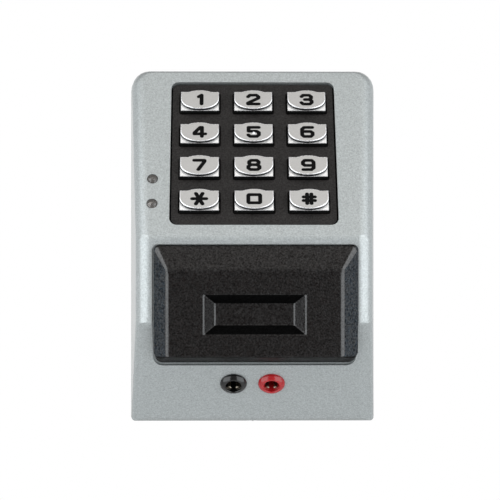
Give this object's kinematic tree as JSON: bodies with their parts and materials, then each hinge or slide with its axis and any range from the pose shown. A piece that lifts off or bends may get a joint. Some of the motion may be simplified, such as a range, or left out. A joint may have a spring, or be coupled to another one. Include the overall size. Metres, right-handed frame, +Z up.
{
  "type": "keypad access reader",
  "caption": "Wall-mounted access reader with a sloped metal keypad, a black proximity cover, indicator lamps and emergency power sockets.",
  "frame": {"origin": "centre of the back plate's face, on the wall plane", "axes": "+X to the viewer's right when facing the reader, +Y into the wall, +Z up"},
  "size_m": [0.089, 0.0467, 0.127],
  "materials": {
    "cast_metal": "fine metallic silver-grey paint, satin",
    "plate_steel": "zinc-plated, brushed",
    "seal_rubber": "matt",
    "screw_steel": "plated, satin",
    "bezel_plastic": "fine grain, matt",
    "key_metal": "satin, fine blasted grain",
    "mat_rubber": "matt",
    "board": "green solder mask",
    "header_plastic": "moulded, semi-gloss",
    "ribbon": "satin",
    "led_lens": "clear, slightly smoked",
    "black_plastic": "satin",
    "cover_plastic": "fine leather grain, matt",
    "copper": "enamelled copper wire",
    "chip": "matt",
    "relay_plastic": "moulded, gloss",
    "capacitor_sleeve": "sleeve, gloss",
    "terminal_plastic": "moulded, gloss",
    "plunger_plastic": "moulded, gloss",
    "socket_black": "gloss",
    "socket_red": "gloss",
    "contact_metal": "plated spring brass",
    "lead_insulation": "satin"
  },
  "bodies": {
    "housing": {"front_housing": "cast_metal", "back_plate": "plate_steel", "rim_seal": "seal_rubber", "security_screw": "screw_steel", "keypad_bezel": "bezel_plastic", "keypad_mat": "mat_rubber", "keypad_board": "board", "keypad_screws": "screw_steel", "keypad_header": "header_plastic", "keypad_ribbon": "ribbon", "led_upper": "led_lens", "led_lower": "led_lens", "led_spacer": "black_plastic", "reader_cover": "cover_plastic", "reader_coil": "copper", "coil_leads": "copper", "reader_board": "board", "reader_chip": "chip", "reader_screws": "screw_steel", "main_board": "board", "main_board_screws": "screw_steel", "processor": "chip", "logic_chips": "chip", "relay": "relay_plastic", "buzzer": "black_plastic", "cell_holder": "black_plastic", "backup_cell": "screw_steel", "capacitors": "capacitor_sleeve", "ribbon_header": "header_plastic", "socket_header": "header_plastic", "terminal_block": "terminal_plastic", "terminal_screws": "screw_steel", "tamper_switch": "black_plastic", "socket_black": "socket_black", "socket_red": "socket_red", "socket_nuts": "screw_steel", "socket_contacts": "contact_metal", "socket_leads": "lead_insulation"},
    "key_1": {"key_1": "key_metal"},
    "key_2": {"key_2": "key_metal"},
    "key_3": {"key_3": "key_metal"},
    "key_4": {"key_4": "key_metal"},
    "key_5": {"key_5": "key_metal"},
    "key_6": {"key_6": "key_metal"},
    "key_7": {"key_7": "key_metal"},
    "key_8": {"key_8": "key_metal"},
    "key_9": {"key_9": "key_metal"},
    "key_star": {"key_star": "key_metal"},
    "key_0": {"key_0": "key_metal"},
    "key_hash": {"key_hash": "key_metal"},
    "tamper_plunger": {"tamper_plunger": "plunger_plastic"}
  },
  "joints": [
    {"name": "key_1_press", "type": "slide", "parent": "housing", "child": "key_1", "axis": [0, 0.8744, -0.4852], "range_m": [0, 0.001], "stiffness_N_per_m": 900},
    {"name": "key_2_press", "type": "slide", "parent": "housing", "child": "key_2", "axis": [0, 0.8744, -0.4852], "range_m": [0, 0.001], "stiffness_N_per_m": 900},
    {"name": "key_3_press", "type": "slide", "parent": "housing", "child": "key_3", "axis": [0, 0.8744, -0.4852], "range_m": [0, 0.001], "stiffness_N_per_m": 900},
    {"name": "key_4_press", "type": "slide", "parent": "housing", "child": "key_4", "axis": [0, 0.8744, -0.4852], "range_m": [0, 0.001], "stiffness_N_per_m": 900},
    {"name": "key_5_press", "type": "slide", "parent": "housing", "child": "key_5", "axis": [0, 0.8744, -0.4852], "range_m": [0, 0.001], "stiffness_N_per_m": 900},
    {"name": "key_6_press", "type": "slide", "parent": "housing", "child": "key_6", "axis": [0, 0.8744, -0.4852], "range_m": [0, 0.001], "stiffness_N_per_m": 900},
    {"name": "key_7_press", "type": "slide", "parent": "housing", "child": "key_7", "axis": [0, 0.8744, -0.4852], "range_m": [0, 0.001], "stiffness_N_per_m": 900},
    {"name": "key_8_press", "type": "slide", "parent": "housing", "child": "key_8", "axis": [0, 0.8744, -0.4852], "range_m": [0, 0.001], "stiffness_N_per_m": 900},
    {"name": "key_9_press", "type": "slide", "parent": "housing", "child": "key_9", "axis": [0, 0.8744, -0.4852], "range_m": [0, 0.001], "stiffness_N_per_m": 900},
    {"name": "key_star_press", "type": "slide", "parent": "housing", "child": "key_star", "axis": [0, 0.8744, -0.4852], "range_m": [0, 0.001], "stiffness_N_per_m": 900},
    {"name": "key_0_press", "type": "slide", "parent": "housing", "child": "key_0", "axis": [0, 0.8744, -0.4852], "range_m": [0, 0.001], "stiffness_N_per_m": 900},
    {"name": "key_hash_press", "type": "slide", "parent": "housing", "child": "key_hash", "axis": [0, 0.8744, -0.4852], "range_m": [0, 0.001], "stiffness_N_per_m": 900},
    {"name": "tamper_press", "type": "slide", "parent": "housing", "child": "tamper_plunger", "axis": [0, -1, 0], "range_m": [0, 0.001], "stiffness_N_per_m": 600}
  ]
}
